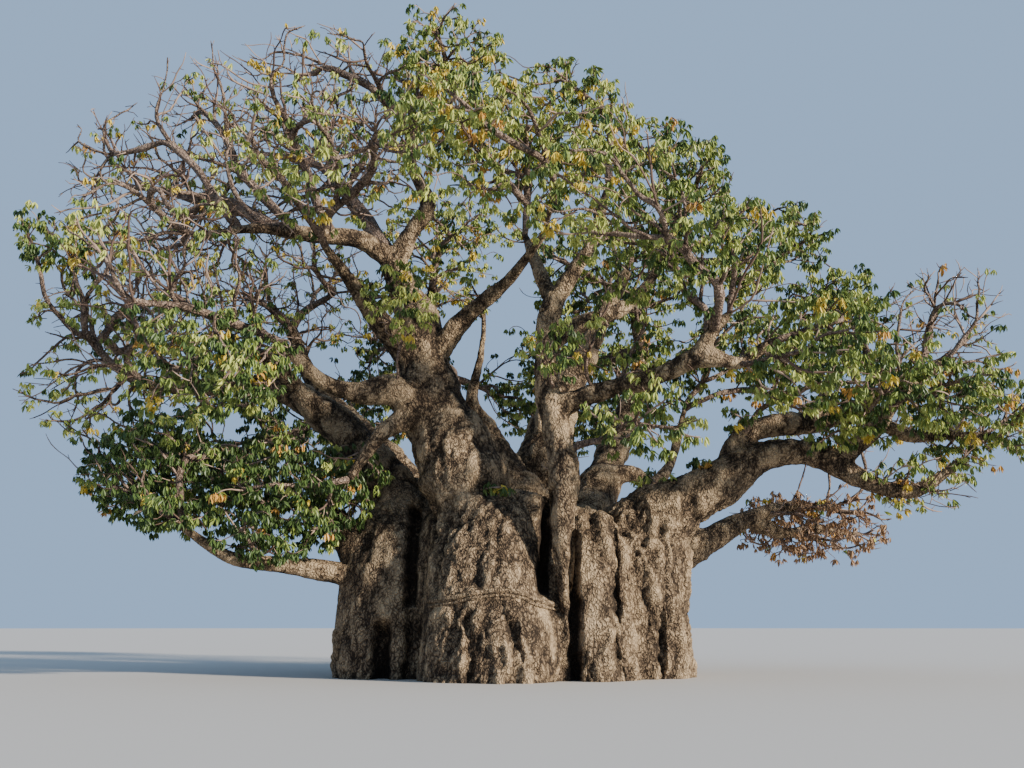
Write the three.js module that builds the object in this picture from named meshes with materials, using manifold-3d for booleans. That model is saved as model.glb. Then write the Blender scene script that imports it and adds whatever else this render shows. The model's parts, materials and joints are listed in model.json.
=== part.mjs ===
// A very old baobab tree: a squat trunk of fused columns, tapering boughs and uneven masses of leaves.
// Millimetres, +Z up. The origin is the middle of the flat cut at ground level. +X is the side that the
// great low bough reaches to, and -Y is the open side, from which the columns of the trunk show best.
import * as THREE from "three";
import { mergeVertices } from "three/addons/utils/BufferGeometryUtils.js";
import Module from "manifold-3d";

const wasm = await Module();
wasm.setup();

// Driving dimensions
const METRE = 1000;
const CLEARANCE = 0.4; // kept between neighbouring solids
const TRUNK_TOP = 3.3 * METRE;
const TRUNK_DOME = 2.3 * METRE; // where the middle of the trunk starts to round over
const TRUNK_SIDES = 38;
const TRUNK_LEVELS = 8;
const TRUNK_LEVEL_RATIO = 1.25; // the levels draw together towards the top
const CORE_RADIUS = 1.9 * METRE;
const SHOULDER = 0.6 * METRE; // height over which a column rounds over at its top
const FLARE_REACH = 0.1 * METRE; // how far the roots spread the foot
const FLARE_HEIGHT = 0.5 * METRE;
const RIB_DEPTH = 0.03 * METRE; // small buttresses round the foot
const RIBS = 15;
const STOUT_ROOT = 0.4; // metres: a bough with a thicker root is made rounder
const STOUT_SIDES = 7;
const SLIM_SIDES = 6;
const BOUGH_STEP = 1.0 * METRE; // a bough's middle line is straight over about this length
const BOUGH_TAPER = 1.1; // over 1: a bough thins faster near its root than near its tip
const SMALLEST_PIECE = 0.001 * METRE ** 3; // a cut bough's scraps are smaller than this
const MASS_DETAIL = 2;
const MASS_UNEVENNESS = 0.14; // share of a mass's half size
const BROAD_LUMPS = 3.1; // lumps round a mass, in radians of wave across its half size
const FINE_LUMPS = 5.3;
const FINE_LUMP_SHARE = 0.7;

const MATERIALS = {
  bark: new THREE.MeshStandardMaterial({ color: 0x7d6a58, roughness: 0.95, metalness: 0 }),
  limb: new THREE.MeshStandardMaterial({ color: 0x82705f, roughness: 0.92, metalness: 0 }),
  leaf: new THREE.MeshStandardMaterial({ color: 0x55702f, roughness: 0.75, metalness: 0 }),
};

// Columns that have grown together into the trunk: where each stands at the ground and at its head,
// its radius at both, and how high it reaches. All in metres.
const COLUMNS = [
  { foot: [-0.3, -1.65], head: [-0.42, -1.15], footRadius: 1.12, headRadius: 0.84, top: 2.95 },
  { foot: [-1.95, -0.6], head: [-1.85, -0.3], footRadius: 0.92, headRadius: 0.9, top: 2.8 },
  { foot: [-1.4, 1.2], head: [-1.3, 1.0], footRadius: 1.3, headRadius: 1.1, top: 3.0 },
  { foot: [0.1, 1.7], head: [0.1, 1.4], footRadius: 1.2, headRadius: 1.0, top: 3.05 },
  { foot: [1.5, 1.2], head: [1.5, 1.0], footRadius: 1.25, headRadius: 1.1, top: 2.9 },
  { foot: [1.95, -0.6], head: [2.15, -0.4], footRadius: 0.9, headRadius: 0.92, top: 2.75 },
  { foot: [1.2, -1.5], head: [1.2, -1.0], footRadius: 0.72, headRadius: 0.66, top: 2.75 },
];

// Boughs, from the trunk outwards. A bough starts at "from", or on the middle line of the bough named
// in "on", at the share "at" of its length. "bends" are the points that it passes and ends at. It ends in
// the mass of leaves that it enters, and passes through the one named in "through". All in metres.
const BOUGHS = [
  { name: "neck_bough", from: [-0.55, -0.9, 2.1], root: 0.9, tip: 0.34,
    bends: [[-0.75, -0.95, 2.9], [-0.95, -0.9, 3.6], [-1.38, -0.7, 4.5], [-1.52, -0.6, 5.4],
      [-1.58, -0.5, 6.0]] },
  { name: "upper_left_bough", on: "neck_bough", at: 0.98, root: 0.31, tip: 0.2,
    bends: [[-1.9, -0.55, 6.5], [-2.1, -0.7, 7.05]] },
  { name: "long_left_bough", on: "upper_left_bough", at: 0.96, root: 0.2, tip: 0.05,
    bends: [[-2.6, -1.0, 7.25], [-3.3, -1.5, 7.15], [-4.1, -2.2, 7.0], [-4.8, -2.8, 6.65]] },
  { name: "crown_bough", on: "upper_left_bough", at: 0.98, root: 0.19, tip: 0.07,
    bends: [[-1.75, -0.8, 7.45], [-1.45, -1.0, 7.9], [-1.75, -1.2, 8.6], [-1.75, -1.2, 9.4]] },
  { name: "mid_left_bough", on: "neck_bough", at: 0.82, root: 0.27, tip: 0.08,
    bends: [[-2.2, -1.1, 5.75], [-2.6, -1.6, 6.25], [-3.0, -2.1, 6.75]] },
  { name: "centre_bough", on: "neck_bough", at: 0.86, root: 0.21, tip: 0.07,
    bends: [[-0.85, -0.85, 5.85], [-0.4, -1.2, 6.15], [0.0, -1.6, 6.4], [0.55, -2.4, 6.9]] },
  { name: "left_front_bough", on: "neck_bough", at: 0.55, root: 0.36, tip: 0.07,
    bends: [[-1.85, -1.3, 4.5], [-2.55, -1.6, 4.45], [-3.05, -2.0, 4.6], [-3.5, -2.5, 5.0]] },
  { name: "left_great_bough", from: [-1.5, 0.0, 2.1], root: 0.6, tip: 0.24,
    bends: [[-1.95, 0.0, 2.85], [-2.45, 0.0, 3.55], [-2.95, 0.1, 4.15], [-3.75, 0.0, 4.75]] },
  { name: "left_outer_bough", on: "left_great_bough", at: 0.98, root: 0.22, tip: 0.07,
    bends: [[-4.6, -0.15, 4.95], [-5.3, -0.4, 4.75], [-6.2, -0.5, 4.8]] },
  { name: "low_left_bough", from: [-2.2, -0.7, 1.5], root: 0.2, tip: 0.05,
    bends: [[-2.9, -0.9, 1.65], [-3.7, -1.2, 1.75], [-4.4, -1.6, 1.85], [-5.2, -2.0, 2.4]] },
  { name: "front_stem", from: [0.82, -1.95, 1.0], root: 0.24, tip: 0.17,
    bends: [[0.76, -2.2, 1.8], [0.8, -2.2, 3.0], [0.68, -2.05, 3.75], [0.55, -1.9, 4.5], [0.56, -1.8, 5.4],
      [0.7, -1.8, 6.0]] },
  { name: "front_fork_bough", on: "front_stem", at: 0.98, root: 0.16, tip: 0.06,
    bends: [[1.0, -1.9, 6.4], [1.3, -2.0, 6.9], [1.6, -1.9, 7.9]] },
  { name: "right_mid_bough", on: "front_stem", at: 0.68, root: 0.17, tip: 0.07,
    through: "front_right_low_leaves",
    bends: [[1.4, -2.2, 4.35], [2.1, -2.6, 4.45], [2.8, -3.0, 4.7], [3.35, -3.0, 4.6], [3.8, -3.0, 4.9]] },
  { name: "upper_right_bough", on: "front_stem", at: 0.86, root: 0.16, tip: 0.07,
    bends: [[1.2, -1.5, 5.65], [1.8, -1.2, 5.95], [2.4, -1.0, 6.6], [2.8, -0.9, 7.6]] },
  { name: "rear_centre_bough", from: [0.35, 0.3, 2.6], root: 0.55, tip: 0.12,
    bends: [[0.45, 0.45, 3.4], [0.75, 0.6, 4.4], [1.25, 0.8, 5.5], [1.7, 1.0, 6.5], [2.2, 1.2, 7.4]] },
  { name: "great_right_bough", from: [1.6, -0.5, 1.8], root: 0.76, tip: 0.33,
    bends: [[2.15, -0.6, 2.35], [2.8, -0.7, 2.75], [3.3, -0.7, 3.0], [3.75, -0.7, 3.35]] },
  { name: "great_right_upper_bough", on: "great_right_bough", at: 0.92, root: 0.25, tip: 0.1,
    bends: [[3.85, -0.6, 3.85], [4.3, -0.5, 4.1], [5.2, -0.4, 4.2], [6.1, -0.3, 4.55], [7.0, -0.5, 5.1]] },
  { name: "great_right_lower_bough", on: "great_right_bough", at: 0.95, root: 0.3, tip: 0.08,
    bends: [[4.2, -0.8, 3.55], [4.95, -1.0, 3.55], [5.7, -1.3, 3.05], [6.4, -1.4, 2.9], [7.2, -1.4, 3.4]] },
  { name: "great_right_side_bough", on: "great_right_lower_bough", at: 0.4, root: 0.18, tip: 0.07,
    bends: [[5.9, -1.3, 3.95], [6.3, -1.5, 4.5], [6.9, -1.7, 4.9]] },
  { name: "rear_right_low_bough", from: [2.2, 0.4, 1.8], root: 0.42, tip: 0.09,
    bends: [[3.3, 0.9, 2.2], [4.4, 1.5, 2.75], [5.3, 2.0, 3.0]] },
  { name: "rear_left_bough", from: [-1.4, 0.9, 2.3], root: 0.56, tip: 0.14,
    bends: [[-2.3, 1.9, 3.7], [-3.3, 2.8, 4.8], [-4.2, 3.4, 5.9], [-4.7, 3.7, 7.0]] },
  { name: "rear_right_bough", from: [1.25, 1.0, 2.3], root: 0.5, tip: 0.13,
    bends: [[1.7, 2.0, 3.5], [2.2, 2.8, 4.7], [2.7, 3.3, 6.0], [2.6, 3.5, 7.2]] },
  { name: "rear_arch_bough", on: "rear_right_bough", at: 0.22, root: 0.2, tip: 0.08,
    bends: [[1.9, 1.8, 3.6], [2.3, 1.95, 3.6], [2.7, 2.4, 3.5], [3.2, 3.2, 4.0], [3.6, 3.7, 5.2]] },
  { name: "rear_middle_bough", from: [-0.25, 1.3, 2.4], root: 0.48, tip: 0.13,
    bends: [[-0.85, 2.3, 4.1], [-1.65, 3.1, 5.8], [-1.7, 3.6, 7.8]] },
];

// Masses of leaves: the middle of each and its half size along X, Y and Z, in metres.
const MASSES = [
  { name: "far_left_tip_leaves", middle: [-7.5, -1.0, 7.2], half: [1.2, 1.2, 0.6] },
  { name: "upper_left_outer_leaves", middle: [-6.5, -0.3, 8.1], half: [1.7, 2.4, 1.4] },
  { name: "upper_left_leaves", middle: [-4.7, -0.4, 9.15], half: [1.5, 2.6, 1.5] },
  { name: "top_left_leaves", middle: [-3.0, -0.6, 9.7], half: [1.4, 2.7, 1.25] },
  { name: "top_leaves", middle: [-1.2, -0.8, 9.9], half: [1.4, 2.7, 1.25] },
  { name: "top_right_leaves", middle: [0.7, -0.6, 9.1], half: [1.5, 2.7, 1.15] },
  { name: "upper_right_leaves", middle: [2.5, -0.4, 8.2], half: [1.4, 2.6, 1.15] },
  { name: "right_shoulder_leaves", middle: [4.2, -0.2, 7.1], half: [1.5, 2.4, 1.1] },
  { name: "right_outer_leaves", middle: [5.6, 0.0, 6.1], half: [1.1, 2.0, 0.9] },
  { name: "far_right_top_leaves", middle: [7.2, -0.4, 5.9], half: [1.2, 1.7, 1.0] },
  { name: "far_right_leaves", middle: [7.8, -0.8, 4.2], half: [1.1, 1.7, 1.1] },
  { name: "right_low_leaves", middle: [5.95, -2.0, 4.5], half: [1.15, 1.3, 0.8] },
  { name: "dry_low_right_leaves", middle: [5.7, 2.3, 2.7], half: [1.6, 1.2, 0.7] },
  { name: "left_mid_outer_leaves", middle: [-6.9, -0.4, 6.0], half: [1.3, 2.1, 1.0] },
  { name: "left_low_outer_leaves", middle: [-7.1, -0.5, 4.6], half: [1.3, 1.7, 0.8] },
  { name: "left_low_leaves", middle: [-5.6, -0.8, 3.3], half: [1.5, 1.9, 1.0] },
  { name: "left_low_inner_leaves", middle: [-3.7, -1.35, 2.75], half: [1.25, 1.3, 1.05] },
  { name: "front_left_upper_leaves", middle: [-4.8, -3.6, 6.2], half: [1.6, 1.8, 1.0] },
  { name: "front_left_mid_leaves", middle: [-4.3, -3.4, 4.5], half: [1.3, 1.5, 0.9] },
  { name: "front_top_left_leaves", middle: [-2.8, -3.8, 7.4], half: [1.5, 1.8, 1.0] },
  { name: "front_top_leaves", middle: [-0.8, -4.2, 7.5], half: [1.3, 1.9, 1.0] },
  { name: "front_top_right_leaves", middle: [1.0, -4.1, 6.9], half: [1.3, 1.8, 1.0] },
  { name: "front_right_upper_leaves", middle: [2.7, -3.7, 6.1], half: [1.3, 1.7, 0.9] },
  { name: "front_right_mid_leaves", middle: [2.0, -2.7, 5.4], half: [1.1, 1.1, 0.65] },
  { name: "front_right_low_leaves", middle: [1.8, -2.9, 3.85], half: [0.95, 1.0, 0.65] },
  { name: "right_mid_leaves", middle: [4.5, -2.8, 4.8], half: [1.3, 1.5, 0.95] },
  { name: "rear_left_top_leaves", middle: [-4.3, 3.6, 7.7], half: [2.2, 2.0, 1.3] },
  { name: "rear_top_leaves", middle: [-1.3, 3.8, 8.7], half: [1.9, 2.0, 1.3] },
  { name: "rear_right_top_leaves", middle: [1.9, 3.6, 7.9], half: [1.9, 2.0, 1.3] },
  { name: "rear_right_leaves", middle: [4.5, 3.6, 6.3], half: [1.8, 1.9, 1.2] },
  { name: "rear_far_right_leaves", middle: [6.5, 2.5, 5.05], half: [1.6, 1.75, 1.05] },
  { name: "rear_left_leaves", middle: [-6.3, 3.1, 6.4], half: [1.9, 1.9, 1.3] },
  { name: "rear_left_low_leaves", middle: [-5.4, 3.2, 4.4], half: [1.8, 1.8, 1.1] },
  { name: "rear_deep_left_leaves", middle: [-3.3, 5.7, 6.0], half: [2.3, 2.0, 1.4] },
  { name: "rear_deep_right_leaves", middle: [1.4, 5.9, 6.1], half: [2.3, 2.0, 1.4] },
];

// One closed surface whose shared corners are merged.
function merged(geometry) {
  const bare = geometry.clone();
  bare.deleteAttribute("normal");
  bare.deleteAttribute("uv");
  return mergeVertices(bare, 1e-3);
}

function solidFrom(geometry) {
  const { attributes, index } = merged(geometry);
  return new wasm.Manifold(
    new wasm.Mesh({
      numProp: 3,
      vertProperties: attributes.position.array,
      triVerts: new Uint32Array(index.array),
    }),
  );
}

// The same surface moved outwards by the clearance, used to cut what meets it.
function grown(geometry) {
  const surface = merged(geometry);
  surface.computeVertexNormals();
  const { position, normal } = surface.attributes;
  const corner = new THREE.Vector3();
  const outwards = new THREE.Vector3();
  for (let i = 0; i < position.count; i += 1) {
    outwards.fromBufferAttribute(normal, i);
    corner.fromBufferAttribute(position, i).addScaledVector(outwards, CLEARANCE);
    position.setXYZ(i, corner.x, corner.y, corner.z);
  }
  return solidFrom(surface);
}

// Moves every corner of a geometry to where the rule puts it.
function reshape(geometry, rule) {
  const place = geometry.attributes.position;
  const corner = new THREE.Vector3();
  for (let i = 0; i < place.count; i += 1) {
    rule(corner.fromBufferAttribute(place, i));
    place.setXYZ(i, corner.x, corner.y, corner.z);
  }
  return geometry;
}

// How far a height lies up a rounded top that is as tall as given: 0 below its start and 1 above it.
function roundedShare(height, start, tall) {
  return THREE.MathUtils.clamp((height - start) / tall, 0, 1);
}

// The reach of one column from the trunk's axis, at one height and in one direction, or nothing.
function columnReach(column, height, angle) {
  const top = column.top * METRE;
  const share = Math.min(1, height / top);
  const between = (foot, head) => THREE.MathUtils.lerp(foot, head, share) * METRE;
  const rounded = roundedShare(height, top - SHOULDER, SHOULDER);
  const radius = between(column.footRadius, column.headRadius) * Math.sqrt(1 - rounded ** 2);
  const x = between(column.foot[0], column.head[0]);
  const y = between(column.foot[1], column.head[1]);
  const along = x * Math.cos(angle) + y * Math.sin(angle);
  const aside = x * Math.sin(angle) - y * Math.cos(angle);
  return Math.abs(aside) < radius ? along + Math.sqrt(radius ** 2 - aside ** 2) : 0;
}

// The trunk's surface is that of its core or of the column that reaches furthest, spread at the foot.
function trunkReach(height, angle) {
  const rounded = roundedShare(height, TRUNK_DOME, TRUNK_TOP - TRUNK_DOME);
  const core = CORE_RADIUS * Math.sqrt(1 - Math.min(rounded, 0.99) ** 2);
  const reach = Math.max(core, ...COLUMNS.map((column) => columnReach(column, height, angle)));
  return reach + Math.exp(-height / FLARE_HEIGHT) * (FLARE_REACH + RIB_DEPTH * Math.cos(RIBS * angle));
}

function trunkGeometry() {
  const geometry = new THREE.CylinderGeometry(1, 1, 1, TRUNK_SIDES, TRUNK_LEVELS);
  geometry.rotateX(Math.PI / 2);
  return reshape(geometry, (corner) => {
    const height = TRUNK_TOP * (1 - (0.5 - corner.z) ** TRUNK_LEVEL_RATIO);
    const angle = Math.atan2(corner.y, corner.x);
    const reach = Math.hypot(corner.x, corner.y) * trunkReach(height, angle);
    corner.set(reach * Math.cos(angle), reach * Math.sin(angle), height);
  });
}

// A bough is a round bar bent along its middle line and tapered from its root to its tip.
const middleLines = new Map();

function boughGeometry({ name, from, on, at, bends, root, tip }) {
  const start = on ? middleLines.get(on).getPointAt(at) : new THREE.Vector3(...from).multiplyScalar(METRE);
  const line = new THREE.CatmullRomCurve3([
    start,
    ...bends.map((bend) => new THREE.Vector3(...bend).multiplyScalar(METRE)),
  ]);
  middleLines.set(name, line);
  const steps = Math.max(3, Math.round(line.getLength() / BOUGH_STEP));
  const frames = line.computeFrenetFrames(steps, false);
  const sides = root > STOUT_ROOT ? STOUT_SIDES : SLIM_SIDES;
  const geometry = new THREE.CylinderGeometry(1, 1, 1, sides, steps);
  return reshape(geometry, (corner) => {
    const share = corner.y + 0.5;
    const step = Math.round(share * steps);
    const radius = METRE * (tip + (root - tip) * (1 - share) ** BOUGH_TAPER);
    const across = frames.normals[step].clone().multiplyScalar(corner.z * radius);
    const beside = frames.binormals[step].clone().multiplyScalar(corner.x * radius);
    corner.copy(line.getPointAt(share)).add(across).add(beside);
  });
}

// How far an ellipsoid of the given half sizes reaches from its middle in one direction.
function ellipsoidReach(half, direction) {
  return 1 / Math.hypot(direction.x / half[0], direction.y / half[1], direction.z / half[2]);
}

// The flat faces at which a mass meets the masses round it, each halfway in proportion to their sizes.
function meetings(mass) {
  const middle = new THREE.Vector3(...mass.middle);
  return MASSES.filter((other) => other !== mass).map((other) => {
    const towards = new THREE.Vector3(...other.middle).sub(middle);
    const distance = towards.length();
    towards.normalize();
    const own = ellipsoidReach(mass.half, towards);
    const theirs = ellipsoidReach(other.half, towards);
    return { towards, limit: (distance * own) / (own + theirs) - CLEARANCE / 2 / METRE };
  });
}

// One wave over a ball: its pitch sets how many lumps there are, and its turn where they lie.
function lump(direction, pitch, turn) {
  return (
    Math.sin(pitch * direction.x + turn) *
    Math.sin(pitch * direction.y + 1.7 * turn) *
    Math.sin(pitch * direction.z + 2.3 * turn)
  );
}

// A mass is an uneven ball, lumpy in its own way, and flat where it meets its neighbours.
function massGeometry(mass, turn) {
  const faces = meetings(mass);
  const middle = new THREE.Vector3(...mass.middle);
  return reshape(new THREE.IcosahedronGeometry(1, MASS_DETAIL), (corner) => {
    const direction = corner.clone().normalize();
    const broad = lump(direction, BROAD_LUMPS, turn);
    const fine = lump(direction, FINE_LUMPS, turn + 2);
    const lumps = broad + FINE_LUMP_SHARE * fine;
    let reach = ellipsoidReach(mass.half, direction) * (1 + MASS_UNEVENNESS * lumps);
    for (const { towards, limit } of faces) {
      const lean = towards.dot(direction);
      if (lean > 0) reach = Math.min(reach, limit / lean);
    }
    corner.copy(direction).multiplyScalar(reach).add(middle).multiplyScalar(METRE);
  });
}

// The piece of a cut bough that lies nearest to its root.
function rootPiece(solid, root) {
  const near = (piece) => {
    const { min, max } = piece.boundingBox();
    return new THREE.Box3(new THREE.Vector3(...min), new THREE.Vector3(...max)).distanceToPoint(root);
  };
  const pieces = solid.decompose().filter((piece) => piece.volume() > SMALLEST_PIECE);
  return pieces.sort((a, b) => near(a) - near(b))[0];
}

function meshFrom(solid, name, material) {
  const { vertProperties, triVerts } = solid.getMesh();
  const geometry = new THREE.BufferGeometry();
  geometry.setAttribute("position", new THREE.BufferAttribute(vertProperties, 3));
  geometry.setIndex(new THREE.BufferAttribute(triVerts, 1));
  const mesh = new THREE.Mesh(geometry, material);
  mesh.name = name;
  return mesh;
}

const tree = new THREE.Group();

const trunk = trunkGeometry();
tree.add(meshFrom(solidFrom(trunk), "trunk", MATERIALS.bark));

const masses = MASSES.map((mass, order) => {
  const geometry = massGeometry(mass, order + 1);
  return { name: mass.name, solid: solidFrom(geometry), cutter: grown(geometry) };
});

// Each bough is cut back to the trunk, to the boughs before it and to the mass that it enters.
const wood = [grown(trunk)];
for (const bough of BOUGHS) {
  const geometry = boughGeometry(bough);
  const entered = masses.filter(({ name }) => name !== bough.through).map(({ cutter }) => cutter);
  const cut = [...wood, ...entered].reduce((left, cutter) => left.subtract(cutter), solidFrom(geometry));
  tree.add(meshFrom(rootPiece(cut, middleLines.get(bough.name).getPointAt(0)), bough.name, MATERIALS.limb));
  const cutter = grown(geometry);
  wood.push(cutter);
  const pierced = masses.find(({ name }) => name === bough.through);
  if (pierced) pierced.solid = pierced.solid.subtract(cutter);
}

for (const { name, solid } of masses) tree.add(meshFrom(solid, name, MATERIALS.leaf));

export default tree;
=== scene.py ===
# A very old baobab: a squat trunk of fused columns, long boughs and an open crown of drooping leaves.
# Metres, +Z up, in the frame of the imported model.
import json
import math

import bmesh
import bpy
import numpy as np
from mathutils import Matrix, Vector, kdtree, noise
from mathutils.bvhtree import BVHTree

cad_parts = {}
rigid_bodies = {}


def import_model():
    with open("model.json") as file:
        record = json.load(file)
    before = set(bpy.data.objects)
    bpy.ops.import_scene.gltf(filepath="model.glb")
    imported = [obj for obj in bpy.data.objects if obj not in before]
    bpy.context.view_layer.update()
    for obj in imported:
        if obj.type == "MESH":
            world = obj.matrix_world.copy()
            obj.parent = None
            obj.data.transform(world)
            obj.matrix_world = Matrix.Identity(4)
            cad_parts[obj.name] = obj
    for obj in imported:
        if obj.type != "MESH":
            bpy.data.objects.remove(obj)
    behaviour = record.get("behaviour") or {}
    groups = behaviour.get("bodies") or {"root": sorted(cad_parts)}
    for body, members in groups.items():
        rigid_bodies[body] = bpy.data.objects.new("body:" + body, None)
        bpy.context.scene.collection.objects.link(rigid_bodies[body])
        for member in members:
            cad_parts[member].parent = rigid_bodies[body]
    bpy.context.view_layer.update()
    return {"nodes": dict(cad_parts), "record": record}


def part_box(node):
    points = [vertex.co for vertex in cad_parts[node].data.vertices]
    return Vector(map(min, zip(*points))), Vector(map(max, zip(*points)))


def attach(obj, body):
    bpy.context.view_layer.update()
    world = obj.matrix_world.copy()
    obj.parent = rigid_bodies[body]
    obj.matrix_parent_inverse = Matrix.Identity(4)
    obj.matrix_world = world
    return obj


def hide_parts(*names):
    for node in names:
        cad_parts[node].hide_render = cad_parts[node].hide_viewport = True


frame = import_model()


# The wood: eight columns that have grown together round a core, with stout boughs that rise out of them.
# It is one living surface, so columns and boughs are drawn as bars along their middle lines, fused and
# smoothed, and then folded and wrinkled. Each point is a place and a radius, in metres.
COLUMNS = {
    "core": [(0, 0, -0.5, 2.0), (0, 0, 1.2, 1.95), (0.05, 0, 2.3, 1.75), (0.1, 0.05, 2.75, 1.3)],
    "front": [(-0.3, -1.66, -0.5, 1.2), (-0.31, -1.6, 0.5, 1.1), (-0.36, -1.45, 1.2, 1.02),
              (-0.37, -1.24, 1.9, 0.95), (-0.35, -1.12, 2.33, 0.86), (-0.34, -1.0, 2.58, 0.6),
              (-0.34, -0.95, 2.68, 0.3)],
    "left_front": [(-1.98, -0.62, -0.5, 0.97), (-1.97, -0.55, 0.8, 0.9), (-1.9, -0.42, 1.7, 0.9),
                   (-1.85, -0.3, 2.3, 0.72), (-1.8, -0.2, 2.6, 0.45)],
    "left_slim": [(-1.78, -1.3, -0.5, 0.34), (-1.8, -1.22, 0.6, 0.25), (-1.8, -1.05, 1.3, 0.22),
                  (-1.75, -0.85, 2.0, 0.2)],
    "rear_left": [(-1.42, 1.22, -0.5, 1.36), (-1.36, 1.12, 1.2, 1.22), (-1.3, 1.0, 2.3, 1.0),
                  (-1.3, 0.95, 2.75, 0.6)],
    "rear": [(0.1, 1.75, -0.5, 1.28), (0.1, 1.6, 1.2, 1.12), (0.1, 1.4, 2.4, 0.92), (0.1, 1.3, 2.8, 0.55)],
    "rear_right": [(1.52, 1.22, -0.5, 1.32), (1.5, 1.12, 1.2, 1.2), (1.5, 1.0, 2.2, 1.05),
                   (1.5, 0.9, 2.7, 0.62)],
    "right": [(1.98, -0.62, -0.5, 0.96), (1.99, -0.56, 0.8, 0.9), (2.06, -0.5, 1.6, 0.93),
              (2.15, -0.45, 2.2, 0.82), (2.25, -0.45, 2.5, 0.6)],
    "right_front": [(1.22, -1.52, -0.5, 0.78), (1.21, -1.4, 0.8, 0.7), (1.2, -1.2, 1.6, 0.68),
                    (1.2, -1.0, 2.2, 0.58), (1.22, -0.9, 2.5, 0.4)],
}
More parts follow.
